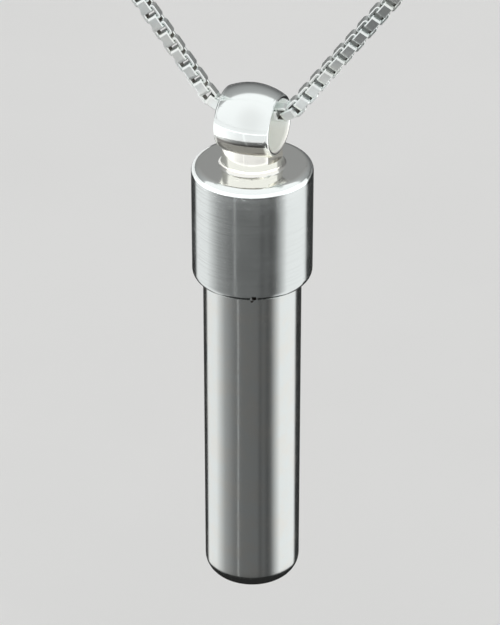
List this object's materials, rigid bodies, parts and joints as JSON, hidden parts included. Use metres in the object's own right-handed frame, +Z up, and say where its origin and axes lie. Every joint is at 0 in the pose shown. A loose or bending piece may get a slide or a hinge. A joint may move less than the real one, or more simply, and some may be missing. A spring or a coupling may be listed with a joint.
{
  "type": "keepsake urn pendant on a box chain",
  "caption": "Slim cylindrical keepsake urn pendant with a screw cap and a barrel bail, hanging free on a closed loop of box chain.",
  "frame": {"origin": "under the clasp at the top of the chain loop, where the back of a neck or a display hook bears", "axes": "+Z up, the chain loop in the XZ plane, -Y towards the front, pendant hanging straight below the origin"},
  "size_m": [0.1306, 0.0078, 0.208],
  "materials": {
    "chain": "polished silver links",
    "findings": "polished silver wire",
    "cap": "polished silver with fine handling scratches",
    "vial": "polished silver with a fine drawn grain"
  },
  "bodies": {
    "necklace": {"chain": "chain", "clasp": "findings", "jump_ring_left": "findings", "jump_ring_right": "findings"},
    "cap": {"cap": "cap"},
    "vial": {"vial": "vial"}
  },
  "joints": [
    {"name": "pendant_swing", "type": "hinge", "parent": "necklace", "child": "cap", "pos_m": [0, 0, -0.1678], "axis": [1, 0, 0], "range_deg": [-90, 90]},
    {"name": "vial_unscrew", "type": "slide", "parent": "cap", "child": "vial", "axis": [0, 0, -1], "range_m": [0, 0.014]}
  ]
}
